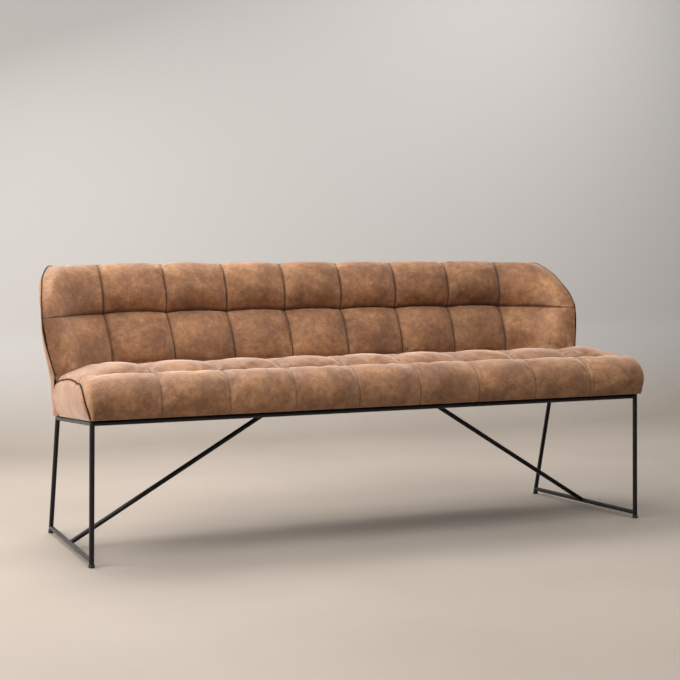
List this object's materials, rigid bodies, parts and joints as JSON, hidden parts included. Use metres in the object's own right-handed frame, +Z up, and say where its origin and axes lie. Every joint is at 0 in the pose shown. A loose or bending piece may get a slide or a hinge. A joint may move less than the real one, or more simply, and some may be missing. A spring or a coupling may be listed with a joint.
{
  "type": "upholstered dining bench",
  "caption": "Long dining bench with a quilted seat and a quilted back that curls forward at its ends, on a slim welded frame of round black steel bar.",
  "frame": {"origin": "on the floor under the middle of the bench's box", "axes": "+X along the bench to the sitter's left, seen from the front to the right, +Y to the back, +Z up"},
  "size_m": [1.8156, 0.7184, 0.8343],
  "materials": {
    "frame_steel": "satin black powder coat",
    "glide_plastic": "matte",
    "plated_steel": "zinc plated",
    "timber": "sawn",
    "plywood": "raw",
    "webbing": "woven elastic",
    "foam": "open cell",
    "dust_cloth": "non-woven",
    "cover": "worn matte, cognac brown"
  },
  "bodies": {
    "root": {"back_foam": "foam", "back_quilt": "cover", "back_shell": "plywood", "dust_cover": "dust_cloth", "front_rail": "frame_steel", "left_brace": "frame_steel", "left_cross_bar": "frame_steel", "left_floor_bar": "frame_steel", "left_front_glide": "glide_plastic", "left_front_leg": "frame_steel", "left_rear_glide": "glide_plastic", "left_rear_leg": "frame_steel", "left_side_cover": "cover", "left_top_bar": "frame_steel", "mounting_tabs": "frame_steel", "outer_back_cover": "cover", "rear_rail": "frame_steel", "right_brace": "frame_steel", "right_cross_bar": "frame_steel", "right_floor_bar": "frame_steel", "right_front_glide": "glide_plastic", "right_front_leg": "frame_steel", "right_rear_glide": "glide_plastic", "right_rear_leg": "frame_steel", "right_side_cover": "cover", "right_top_bar": "frame_steel", "seat_bolts": "plated_steel", "seat_foam": "foam", "seat_front_timber": "timber", "seat_left_slat": "timber", "seat_left_timber": "timber", "seat_quilt": "cover", "seat_rear_timber": "timber", "seat_right_slat": "timber", "seat_right_timber": "timber", "seat_washers": "plated_steel", "shell_screws": "plated_steel", "tee_nuts": "plated_steel", "webbing_straps": "webbing"}
  },
  "joints": []
}
